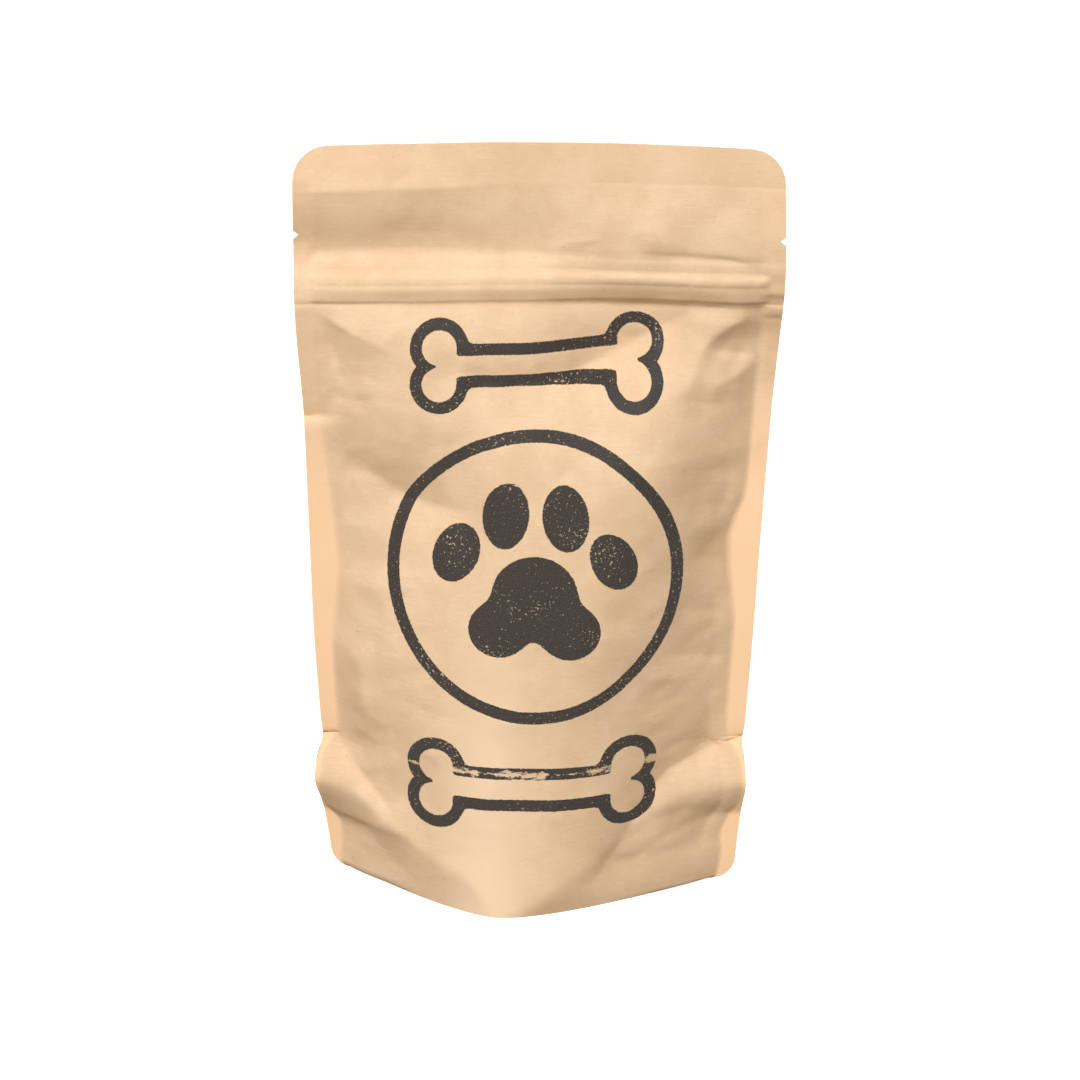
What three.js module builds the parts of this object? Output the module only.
// A shut, filled stand-up pouch of kraft paper, standing on its gusseted bottom.
// Millimetres. +X is the bag's right, -Y its printed front, +Z up. The origin is on the
// surface that the bag stands on, under the middle of its box.
import * as THREE from 'three';

// Bag, as bought flat: 130 wide, 210 high, with a bottom gusset folded 40 deep.
const HALF_WIDTH = 65;
const HEIGHT = 209;
const SEALED_HALF_THICKNESS = 0.2;
const TOP_CORNER_RADIUS = 9;
const BOTTOM_CORNER_RADIUS = 6;
const NOTCH_HEIGHT = 184.4;
const NOTCH_DEPTH = 1.5;
const NOTCH_HALF_OPENING = 1.2;

// The half width of the standing bag, as [height, half width]: the filled belly draws the
// side seals in, and the folded gusset pinches them and kicks them out again below.
const LEFT_EDGE = [
  [0, 54.6], [12, 56.2], [22, 58], [29, 59.6], [34, 59], [40, 57.6], [46, 58.1],
  [70, 59.8], [106, 61.3], [135, 62.5], [157, 64.2], [175, 64.9], [209, 65],
];
const RIGHT_EDGE = [
  [0, 55.8], [12, 56.8], [22, 57.8], [29, 58.6], [34, 58.4], [40, 57.6], [46, 58.2],
  [70, 59.7], [95, 61], [130, 63.1], [160, 65.2], [176, 65.7], [209, 64.8],
];

// Inner line of each side seal, as [height, distance from the middle]: the seals are gone where
// the gusset opens, and back at the foot, where all four plies are sealed together.
const LEFT_SEAM = [
  [0, 52.8], [5, 52.4], [11, 52.2], [16, 53.4], [19, 56.8], [24, 57.8], [34, 57.6], [38, 55.6],
  [42, 53.4], [57, 54], [68, 54.4], [80, 53.2], [92, 52.6], [109, 54.5], [129, 57.3],
  [144, 58.4], [160, 59.4], [175, 59.6], [209, 57.5],
];
const RIGHT_SEAM = [
  [0, 50.9], [4, 51.7], [8, 52.2], [13.5, 51.9], [18.4, 53.8], [24, 56.9], [34, 57.2],
  [38, 55.6], [42, 53.2], [60, 53.4], [76, 54.2], [84, 53.2], [94, 52.2], [100, 52.5],
  [105, 54.3], [110, 56.4], [120, 57.4], [138, 58.6], [150, 59.4], [165, 59.8], [209, 57.5],
];
const GUSSET_LOW = 19;
const GUSSET_HIGH = 39.5;
const GUSSET_RIDGE = 29;
const GUSSET_HALF_OPENING = 5;
const GUSSET_TUCK = 8;
const GUSSET_REACH = 4;
const GUSSET_SOFTNESS = 0.2;
const GUSSET_PINCH = 1.04;
// The least width of a side seal, where the belly reaches furthest out.
const LEAST_SEAL = 0.7;

// Depth of each face at its crest, as [height, depth].
const FRONT_DEPTH = [
  [0, 31.2], [5, 30], [14, 28], [26, 25.9], [40, 24.2], [58, 22.6], [75, 21.2], [92, 19.6],
  [110, 17.4], [124, 15], [137, 12.2], [150, 8.8], [158, 5.8], [163, 3.2], [165.6, 1.8],
  [170, 2.3], [175, 2], [180, 1.1], [190, 0.9], [197, 0.3], [209, 0.2],
];
const BACK_DEPTH = [
  [0, 30.4], [14, 28], [40, 24.6], [75, 21.6], [110, 17.6], [135, 12.6], [150, 8.2], [158, 4.8],
  [164, 1.6], [170, 2.2], [175, 2], [180, 1.2], [190, 0.9], [197, 0.2], [209, 0.2],
];
// How far folds may push a face in past the plane of the side seals.
const LOWEST_DEPTH = -1;
// Where each face stands out furthest: the crest's place across, as [height, x].
const FRONT_CREST = [
  [0, -8.5], [12, -5], [25, -2], [45, 2], [75, 9], [110, 16.5], [145, 20], [165, 10], [209, 0],
];
const BACK_CREST = [[0, 5], [30, 3], [60, -2], [110, -8], [150, -6], [209, 0]];
// Roundness from the crest to each side: 1 is a flat slope, 2 a parabola, and above that
// the face is flat in the middle with a steep flank.
const FRONT_ROUNDNESS_LEFT = [[0, 1.9], [30, 1.95], [60, 2.5], [110, 2.4], [150, 2.8], [209, 3]];
const FRONT_ROUNDNESS_RIGHT = [
  [0, 1.75], [30, 1.5], [60, 1.3], [110, 1.5], [150, 2.2], [209, 3],
];
const BACK_ROUNDNESS = [[0, 1.9], [30, 1.9], [60, 2.1], [110, 2.1], [150, 2.5], [209, 3]];
// Half width that the middle of a face is shaped by, so that the gusset shapes only its sides.
const CALM_HALF_WIDTH = [[0, 48], [60, 52], [110, 54], [160, 58], [209, 58]];
const SIDES_FROM = 0.45;

// The skirt under the belly. Its foot is nearly straight from each corner to the crest, and
// a fold, as [x, height], parts it from the belly.
const FRONT_FOOT_ROUNDNESS = 1.06;
const BACK_FOOT_ROUNDNESS = 1.45;
const CREST_ROUNDING = 0.18;
const FOOT_ROUNDING = 0.09;
const FRONT_SKIRT_FOLD = [
  [-60, 28.6], [-52.5, 28], [-46.6, 26.4], [-41.9, 22.3], [-36.7, 18.4], [-25, 12.7],
  [-17.6, 9.6], [-12.6, 4], [-7, 1], [2, 4], [10, 9.4], [18, 14], [25, 19], [33, 24.5],
  [45, 29], [60, 30],
];
const BACK_SKIRT_FOLD = [
  [-60, 28], [-42, 20], [-28, 11], [-12, 5], [4, 3], [18, 6], [32, 13], [46, 22], [60, 28],
];
const SKIRT_FOLD_SOFTNESS = 0.8;

// Underside: the skirts stand on a narrow rim, the gusset panel between them meets the
// surface in the middle and rises between the skirts towards both corners.
const RIM = 1.4;
const RIM_WALL = 1.6;
const GROOVE = 2.4;
const PANEL_RISE = 14;
const PANEL_FLAT_HALF_LENGTH = 18;
const PANEL_RISE_END = 46;
const PANEL_CLOSED_SPAN = 6;
const PANEL_OPEN_SPAN = 18;

// Zipper, pressed shut inside: a flat band with a rib that ends short of the side edges.
const RIB_HEIGHT = 172.7;
const RIB_ABOVE = 1.2;
const RIB_BELOW = 1.9;
const RIB_RELIEF = 0.5;
const FLANGE = [166.2, 177.5];
const FLANGE_RELIEF = 0.3;
const FLANGE_EDGES = [0.5, 0.8];
const ZIPPER_ENDS = [-60.2, 61.2];
const ZIPPER_FADE = [-0.6, 0.2];

// The sealed top bends towards the front at both ends and sags there; the foot is twisted.
const TOP_BOW = 2.6;
const TOP_SAG = 1;
const BOW_FROM = 110;
const BOW_FULL = 175;
const FOOT_TWIST = 2.6;
const TWIST_ENDS = 60;

// How far both plies of the top lean back at the left, in the middle and at the right, as
// [height, lean]: above the filled part they bend at the zipper and at the top seal.
const LEAN_PLACES = [-34, -6, 22];
const LEAN_SEALS = [59, 61.5];
const LEAN_SOFT = 3.2;
const LEFT_LEAN = [
  [140, 0], [165.2, -1.1], [166.4, -1.4], [169.2, -1.5], [170.2, -1.3], [178, 2.6],
  [180.4, 2.7], [189, -0.2], [196.4, -1.9], [198.6, -1.8], [209, 0.2],
];
const CENTRE_LEAN = [
  [140, 0], [165.2, -0.2], [166.6, -0.4], [169.2, -0.4], [170.2, -0.2], [177.6, 3.2],
  [180.4, 3.2], [189, 2.4], [196.8, 1.4], [198.2, 1.3], [209, 1.3],
];
const RIGHT_LEAN = [
  [124, 0], [140, 3.2], [149, 6], [154, 7], [158, 6.4], [162, 5.3], [164.2, 4.6], [166, 2.7],
  [167.4, 2.1], [171.4, 1.2], [173, 1.2], [175.4, 1.3], [180.6, 0.2], [196.8, 1.4],
  [198.8, 1.45], [209, 1.9],
];
// How far the right side seal bows to the back lower down, and where across that fades in.
const SEAM_LEAN = [[40, 0], [80, 2], [110, 5], [125, 6.4], [140, 5.4], [150, 2], [160, 0]];
const SEAM_LEAN_FROM = [28, 58];

// A fold in a face: points as [x, height, relief out of the face], how far it spreads to the
// left and to the right of the way along them, and how round its crest is.
function fold(points, left, right, rounding) {
  const pieces = [];
  const stations = [[0, points[0][2]]];
  for (let i = 1; i < points.length; i += 1) {
    const [startX, startZ] = points[i - 1];
    const [endX, endZ, relief] = points[i];
    const length = Math.hypot(endX - startX, endZ - startZ);
    const passed = stations[i - 1][0];
    const alongX = (endX - startX) / length;
    const alongZ = (endZ - startZ) / length;
    pieces.push({ startX, startZ, alongX, alongZ, length, passed });
    stations.push([passed + length, relief]);
  }
  return { pieces, stations, left, right, rounding };
}
const FRONT_FOLDS = [
  // Foot: the valleys that the gusset's kick leaves above it, and a crease in the right skirt.
  fold(
    [
      [-58, 40, -1.8], [-53.7, 39.2, -2.8], [-49, 34.2, -3.8], [-45, 30.2, -4.2],
      [-41, 26.2, -3.2], [-37, 22.4, 0],
    ],
    6.5, 4, 0.5,
  ),
  fold([[-60, 40.8, -1.8], [-55.5, 40, -1.8], [-51, 37, -1.2], [-46, 32.6, 0]], 12, 2, 0.6),
  fold(
    [
      [58, 40, -2], [53, 39.6, -4.4], [46, 37.6, -5.8], [38, 34.8, -5.4], [33.6, 31.4, -4.4],
      [29.5, 26, -3.7], [26, 19.5, -3.2], [21.5, 13, -2.8], [17, 7, -1.8], [14, 2, 0],
    ],
    10, 6.5, 0.7,
  ),
  fold(
    [
      [17, 10.5, 0], [25.6, 16.2, -0.8], [33, 21.5, -1.3], [42, 23, -1.6], [51, 20.4, -1.5],
      [57, 19, -0.8],
    ],
    5, 12, 0.9,
  ),
  // Left: the crease below the dent, the ridge from the zipper's corner, the strip by the seal.
  fold(
    [
      [-58, 127, -0.8], [-47, 119, -4.4], [-36, 112.6, -7], [-28, 109.8, -7.2],
      [-20, 109.4, -5], [-9, 111, 0],
    ],
    17, 17, 0.8,
  ),
  fold([[-52, 143, 0], [-40, 138, 1.4], [-26, 133, 1.2], [-16, 132, 0]], 9, 9, 5),
  fold(
    [
      [-59.4, 164.5, 0.7], [-56, 162, 1.5], [-49, 158, 2], [-43, 155, 1.2], [-34, 151, 0],
    ],
    5, 3, 0.3,
  ),
  fold([[-49.5, 68, 0], [-47, 65, 1.3], [-46.4, 56, 2], [-46.4, 46, 1.8], [-47, 39, 0]], 8, 4, 0.6),
  // Right: the valley under the zipper and the crest from the zipper's corner.
  fold(
    [
      [60, 166, -0.3], [50, 165, -1], [41.5, 163, -2.2], [33, 157.6, -4], [25, 152.8, -6],
      [18, 149, -6.8], [11, 146.4, -6.6], [4, 145, -6.4], [-5, 144, -5.8], [-14, 145.6, -4.2],
      [-22, 148.5, -1.4], [-28, 150, 0],
    ],
    9, 10, 1.2,
  ),
  fold(
    [
      [59.4, 163.8, 1], [54.5, 161.6, 2.4], [48.8, 157.7, 3], [44.6, 153, 2.4],
      [41.5, 146, 1.4], [39.5, 138, 0.7], [37.5, 126, 0],
    ],
    5, 10, 0.6,
  ),
  fold([[59.8, 149.9, -1.7], [54.1, 150.2, -1.9], [49.3, 151.5, -1.3], [45, 154, 0]], 2.2, 5, 0.3),
];
const BACK_FOLDS = [
  fold([[-58, 39.5, -2.4], [-50, 36, -2.4], [-38, 29, 0]], 8, 4, 0.8),
  fold([[58, 39.5, -2.4], [50, 36, -2.4], [38, 28, 0]], 4, 8, 0.8),
  fold([[-58, 162, 2.4], [-42, 152, 2.2], [-22, 132, 0]], 9, 9, 2.5),
  fold([[58, 162, 2.2], [40, 150, 2], [24, 134, 0]], 9, 8, 2.5),
  fold([[-24, 158, 0], [-6, 153, -2.6], [14, 148, 0]], 10, 9, 3),
  fold([[60, 110, -2.8], [42, 106, -2.4], [16, 108, 0]], 8, 15, 3),
  fold([[-57, 96, -1.2], [-44, 100, -1.8], [-30, 108, 0]], 12, 6, 1.5),
];
const FOLD_SIDE_BLEND = 1;
const FOLD_JOIN = 1.5;
const SEAM_CALM = 5;
const FOLDS_FROM = 12;

// Mesh: rows of [start height, number of rows], and columns across each face.
const ROW_BANDS = [
  [0, 1], [2, 1], [5, 6], [19, 4], [29, 4], [39.5, 1], [41.5, 2], [47, 4], [67, 5], [97, 7],
  [132, 4], [148, 4], [160, 2], [164.4, 1], [165.6, 1], [166.8, 1], [169.8, 1], [170.9, 1],
  [171.8, 1], [172.7, 1], [173.9, 1], [175.6, 1], [176.7, 1], [178.2, 1], [180.8, 1],
  [183.2, 1], [184.4, 1], [185.6, 2], [191, 1], [196.6, 1], [198.8, 2], [206, 1], [208, 1],
  [HEIGHT, 0],
];
const FACE_COLUMNS = 36;
const SEAL_COLUMNS = 2;
const PANEL_STEPS = 4;

const ramp = (low, high, value) => THREE.MathUtils.smoothstep(value, low, high);

// A smooth curve through [position, value] stations, level beyond its ends.
function through(stations, position) {
  const last = stations.length - 1;
  if (position <= stations[0][0]) return stations[0][1];
  if (position >= stations[last][0]) return stations[last][1];
  let i = 0;
  while (position > stations[i + 1][0]) i += 1;
  const slope = (k) => {
    const before = stations[Math.max(k - 1, 0)];
    const after = stations[Math.min(k + 1, last)];
    return (after[1] - before[1]) / (after[0] - before[0]);
  };
  const [start, low] = stations[i];
  const [end, high] = stations[i + 1];
  const t = (position - start) / (end - start);
  const bend = slope(i) * t * (1 - t) ** 2 - slope(i + 1) * t * t * (1 - t);
  return low + (high - low) * t * t * (3 - 2 * t) + (end - start) * bend;
}

// How far a rounded corner of this radius cuts into the edge, this far from the corner.
function cornerCut(radius, distance) {
  if (distance >= radius) return 0;
  const reach = radius - Math.max(distance, 0);
  return radius - Math.sqrt(radius * radius - reach * reach);
}

// Half width of the bag at this height, with its rounded corners and tear notch.
function halfWidth(edge, z) {
  const notch = Math.max(0, 1 - Math.abs(z - NOTCH_HEIGHT) / NOTCH_HALF_OPENING);
  const corners = cornerCut(TOP_CORNER_RADIUS, HEIGHT - z) + cornerCut(BOTTOM_CORNER_RADIUS, z);
  return through(edge, z) - corners - NOTCH_DEPTH * notch;
}

// Half width of the face inside the side seal.
function innerHalfWidth(x, z) {
  const [edge, seam] = x < 0 ? [LEFT_EDGE, LEFT_SEAM] : [RIGHT_EDGE, RIGHT_SEAM];
  return Math.min(through(seam, z), halfWidth(edge, z) - LEAST_SEAL);
}

// Share of the gusset's opening at this height: 0 at its pinches and 1 at the ridge between
// them, as a tent with a rounded top.
function gussetShare(z) {
  const half = z > GUSSET_RIDGE ? GUSSET_HIGH - GUSSET_RIDGE : GUSSET_RIDGE - GUSSET_LOW;
  const off = Math.hypot((z - GUSSET_RIDGE) / half, GUSSET_SOFTNESS);
  return THREE.MathUtils.clamp(GUSSET_PINCH - off, 0, 1) / (GUSSET_PINCH - GUSSET_SOFTNESS);
}

// Relief of one fold at a point of a face: highest along its line, fading to both sides. Near a
// bend the pieces share the point by how near each is.
function foldRelief({ pieces, stations, left, right, rounding }, x, z) {
  const near = pieces.map(({ startX, startZ, alongX, alongZ, length, passed }) => {
    const reach = (x - startX) * alongX + (z - startZ) * alongZ;
    const place = THREE.MathUtils.clamp(reach, 0, length);
    const distance = Math.hypot(x - startX - place * alongX, z - startZ - place * alongZ);
    const toLeft = (z - startZ) * alongX - (x - startX) * alongZ;
    const spread = right + (left - right) * ramp(-FOLD_SIDE_BLEND, FOLD_SIDE_BLEND, toLeft);
    const profile = Math.exp((rounding - Math.hypot(distance, rounding)) / spread);
    return { distance, relief: through(stations, passed + place) * profile };
  });
  const nearest = Math.min(...near.map(({ distance }) => distance));
  let relief = 0;
  let shares = 0;
  for (const piece of near) {
    const share = Math.exp((nearest - piece.distance) / FOLD_JOIN);
    relief += share * piece.relief;
    shares += share;
  }
  return relief / shares;
}

// Relief of the zipper: its rib and the flat band that it stands on.
function zipperRelief(x, z) {
  const ends = Math.max(ZIPPER_ENDS[0] - x, x - ZIPPER_ENDS[1]);
  const off = (z - RIB_HEIGHT) / (z > RIB_HEIGHT ? RIB_ABOVE : RIB_BELOW);
  const rib = Math.cos((THREE.MathUtils.clamp(off, -1, 1) * Math.PI) / 2);
  const [lowEdge, highEdge] = FLANGE_EDGES;
  const low = ramp(-lowEdge, lowEdge, z - FLANGE[0]);
  const high = ramp(-highEdge, highEdge, FLANGE[1] - z);
  const relief = RIB_RELIEF * rib + FLANGE_RELIEF * low * high;
  return relief * (1 - ramp(ZIPPER_FADE[0], ZIPPER_FADE[1], ends));
}

// Depth of a face in front of, or behind, the plane of the side seals.
function faceDepth(face, x, z) {
  const limit = innerHalfWidth(x, z);
  const skirtFold = through(face.skirtFold, x);
  const opening = GUSSET_HALF_OPENING * gussetShare(z + GUSSET_RIDGE - skirtFold);
  const sealed = SEALED_HALF_THICKNESS + zipperRelief(x, z);
  if (Math.abs(x) >= limit) return sealed + opening;

  const crest = through(face.crest, z);
  const side = x < crest ? -1 : 1;
  const fromCrest = (halfWidthHere) => (side * (x - crest)) / (halfWidthHere - side * crest);
  const calmShare = fromCrest(through(CALM_HALF_WIDTH, z));
  const share = calmShare + (fromCrest(limit) - calmShare) * ramp(SIDES_FROM, 1, calmShare);
  const across = THREE.MathUtils.clamp(share, 0, 1);

  const roundness = side < 0 ? face.roundnessLeft : face.roundnessRight;
  const rounded = (softness) => {
    const end = Math.hypot(1, softness) - softness;
    return (Math.hypot(across, softness) - softness) / end;
  };
  const fullDepth = through(face.depth, 0);
  const belly = through(face.depth, z) * (1 - rounded(CREST_ROUNDING) ** through(roundness, z));
  const bellyAtFoot = fullDepth * (1 - across ** through(roundness, 0));
  const foot = fullDepth * (1 - rounded(FOOT_ROUNDING) ** face.footRoundness);

  const under = (height) => height / 2 + Math.hypot(height / 2, SKIRT_FOLD_SOFTNESS);
  const skirt = Math.min(1, under(skirtFold - z) / under(skirtFold));
  let depth = belly - skirt * Math.max(0, bellyAtFoot - foot);

  const calm = Math.min(1, (limit - Math.abs(x)) / SEAM_CALM) * ramp(0, FOLDS_FROM, z);
  for (const each of face.folds) depth += calm * foldRelief(each, x, z);
  return Math.max(depth, LOWEST_DEPTH * calm) + sealed + opening * across ** GUSSET_REACH;
}

// The middle plane of the bag, which the sealed top and the foot bend out of true.
function middlePlane(x, z) {
  const side = x / HALF_WIDTH;
  const bow = TOP_BOW * side * side * ramp(BOW_FROM, BOW_FULL, z);
  const sealed = ramp(LEAN_SEALS[0], LEAN_SEALS[1], Math.abs(x));
  const [left, centre, right] = [LEFT_LEAN, CENTRE_LEAN, RIGHT_LEAN].map((stations) => {
    const soft = (through(stations, z - LEAN_SOFT) + through(stations, z + LEAN_SOFT)) / 2;
    return through(stations, z) * (1 - sealed) + soft * sealed;
  });
  const toCentre = ramp(LEAN_PLACES[0], LEAN_PLACES[1], x);
  const toRight = ramp(LEAN_PLACES[1], LEAN_PLACES[2], x);
  const seam = through(SEAM_LEAN, z) * ramp(SEAM_LEAN_FROM[0], SEAM_LEAN_FROM[1], x);
  const lean = left + (centre - left) * toCentre + (right - centre) * toRight + seam;
  return lean - bow - FOOT_TWIST * side * (1 - ramp(0, TWIST_ENDS, z));
}

// How far the ends of the top sag below its middle.
function sag(x, z) {
  const side = x / HALF_WIDTH;
  return TOP_SAG * side * side * ramp(BOW_FROM, HEIGHT, z);
}

const front = {
  side: -1, depth: FRONT_DEPTH, crest: FRONT_CREST, folds: FRONT_FOLDS,
  roundnessLeft: FRONT_ROUNDNESS_LEFT, roundnessRight: FRONT_ROUNDNESS_RIGHT,
  footRoundness: FRONT_FOOT_ROUNDNESS, skirtFold: FRONT_SKIRT_FOLD,
};
const back = {
  side: 1, depth: BACK_DEPTH, crest: BACK_CREST, folds: BACK_FOLDS,
  roundnessLeft: BACK_ROUNDNESS, roundnessRight: BACK_ROUNDNESS,
  footRoundness: BACK_FOOT_ROUNDNESS, skirtFold: BACK_SKIRT_FOLD,
};

function facePoint(face, x, z) {
  const y = middlePlane(x, z) + face.side * faceDepth(face, x, z);
  return new THREE.Vector3(x, y, z - sag(x, z));
}

// Heights of the rows, from the foot to the top edge.
function rowHeights() {
  const rows = [];
  for (let i = 0; i < ROW_BANDS.length - 1; i += 1) {
    const [start, count] = ROW_BANDS[i];
    const end = ROW_BANDS[i + 1][0];
    for (let k = 0; k < count; k += 1) rows.push(start + ((end - start) * k) / count);
  }
  rows.push(HEIGHT);
  return rows;
}

// Places across the bag at this height: a side seal, the face, and the other side seal.
function columnPlaces(z) {
  const outerLeft = -halfWidth(LEFT_EDGE, z);
  const innerLeft = -innerHalfWidth(-1, z);
  const innerRight = innerHalfWidth(1, z);
  const outerRight = halfWidth(RIGHT_EDGE, z);
  const places = [];
  const lay = (from, to, count) => {
    for (let k = 0; k < count; k += 1) places.push(from + ((to - from) * k) / count);
  };
  lay(outerLeft, innerLeft, SEAL_COLUMNS);
  lay(innerLeft, innerRight, FACE_COLUMNS);
  lay(innerRight, outerRight, SEAL_COLUMNS);
  places.push(outerRight);
  return places;
}

// Steps across the underside, as [way from the front edge, height]: the front rim, the
// groove behind its wall, the gusset panel, and the same at the back.
function undersideSteps(x, span) {
  const rise = PANEL_RISE * ramp(PANEL_FLAT_HALF_LENGTH, PANEL_RISE_END, Math.abs(x));
  const room = ramp(PANEL_CLOSED_SPAN, PANEL_OPEN_SPAN, span);
  const rim = Math.min(RIM, span / 8);
  const wall = Math.min(RIM + RIM_WALL, span / 4);
  const panel = span - 2 * wall;
  const steps = [[rim, 0], [wall, (GROOVE + rise) * room]];
  for (let s = 1; s < PANEL_STEPS; s += 1) steps.push([wall + (panel * s) / PANEL_STEPS, rise * room]);
  steps.push([span - wall, (GROOVE + rise) * room], [span - rim, 0]);
  return steps;
}

// Triangles between two crossings of the underside; one that ends the panel is two points.
function strip(here, there) {
  const faces = [];
  const ends = here.length - 1;
  if (here.length === there.length) {
    for (let s = 0; s < ends; s += 1) {
      faces.push([here[s], here[s + 1], there[s + 1]], [here[s], there[s + 1], there[s]]);
    }
  } else if (here.length < there.length) {
    for (let s = 0; s < there.length - 1; s += 1) faces.push([here[0], there[s + 1], there[s]]);
    faces.push([here[0], here[1], there[there.length - 1]]);
  } else {
    for (let s = 0; s < ends; s += 1) faces.push([here[s], here[s + 1], there[0]]);
    faces.push([here[ends], there[1], there[0]]);
  }
  return faces;
}

function buildPouch() {
  const vertices = [];
  const triangles = [];
  const add = (point) => vertices.push(point) - 1;
  const quad = (a, b, c, d) => triangles.push([a, b, c], [a, c, d]);

  // Each row is a ring: the front from left to right, the tuck of the gusset at the right
  // edge, the back from right to left, and the tuck at the left edge.
  const rings = rowHeights().map((z) => {
    const places = columnPlaces(z);
    const tuck = (edgeX) => {
      const inward = GUSSET_TUCK * gussetShare(z) * Math.sign(edgeX);
      return new THREE.Vector3(edgeX - inward, middlePlane(edgeX, z), z - sag(edgeX, z));
    };
    const frontRow = places.map((x) => add(facePoint(front, x, z)));
    const rightTuck = add(tuck(places[places.length - 1]));
    const backRow = places.map((x) => add(facePoint(back, x, z)));
    const leftTuck = add(tuck(places[0]));
    const ring = [...frontRow, rightTuck, ...[...backRow].reverse(), leftTuck];
    return { frontRow, backRow, rightTuck, leftTuck, ring };
  });

  for (let r = 0; r < rings.length - 1; r += 1) {
    const low = rings[r].ring;
    const high = rings[r + 1].ring;
    for (let k = 0; k < low.length; k += 1) {
      const next = (k + 1) % low.length;
      quad(low[k], low[next], high[next], high[k]);
    }
  }

  // Top edge: the two plies meet in a narrow strip, one triangle at each end.
  const top = rings[rings.length - 1];
  const last = top.frontRow.length - 1;
  for (let k = 0; k < last; k += 1) {
    quad(top.frontRow[k], top.frontRow[k + 1], top.backRow[k + 1], top.backRow[k]);
  }
  triangles.push([top.frontRow[last], top.rightTuck, top.backRow[last]]);
  triangles.push([top.backRow[0], top.leftTuck, top.frontRow[0]]);

  // Underside: narrow strips under the sealed corners, the gusset panel between them.
  const foot = rings[0];
  const firstPanel = SEAL_COLUMNS;
  const lastPanel = last - SEAL_COLUMNS;
  const crossings = foot.frontRow.map((frontIndex, k) => {
    const backIndex = foot.backRow[k];
    if (k <= firstPanel || k >= lastPanel) return [frontIndex, backIndex];
    const from = vertices[frontIndex];
    const steps = undersideSteps(from.x, vertices[backIndex].y - from.y);
    const inside = steps.map(([y, z]) => add(new THREE.Vector3(from.x, from.y + y, z)));
    return [frontIndex, ...inside, backIndex];
  });
  for (let k = 0; k < last; k += 1) triangles.push(...strip(crossings[k], crossings[k + 1]));
  triangles.push([foot.frontRow[last], foot.backRow[last], foot.rightTuck]);
  triangles.push([foot.backRow[0], foot.frontRow[0], foot.leftTuck]);

  const geometry = new THREE.BufferGeometry();
  const positions = vertices.flatMap((v) => [v.x, v.y, v.z]);
  geometry.setAttribute('position', new THREE.Float32BufferAttribute(positions, 3));
  geometry.setIndex(triangles.flat());
  geometry.computeBoundingBox();
  const box = geometry.boundingBox;
  const middle = box.getCenter(new THREE.Vector3());
  geometry.translate(-middle.x, -middle.y, -box.min.z);
  geometry.computeVertexNormals();
  return geometry;
}

const kraftPaper = new THREE.MeshStandardMaterial({ color: 0xe6c49f, roughness: 0.85, metalness: 0 });

const pouch = new THREE.Mesh(buildPouch(), kraftPaper);
pouch.name = 'pouch';

const model = new THREE.Group();
model.add(pouch);

export default model;
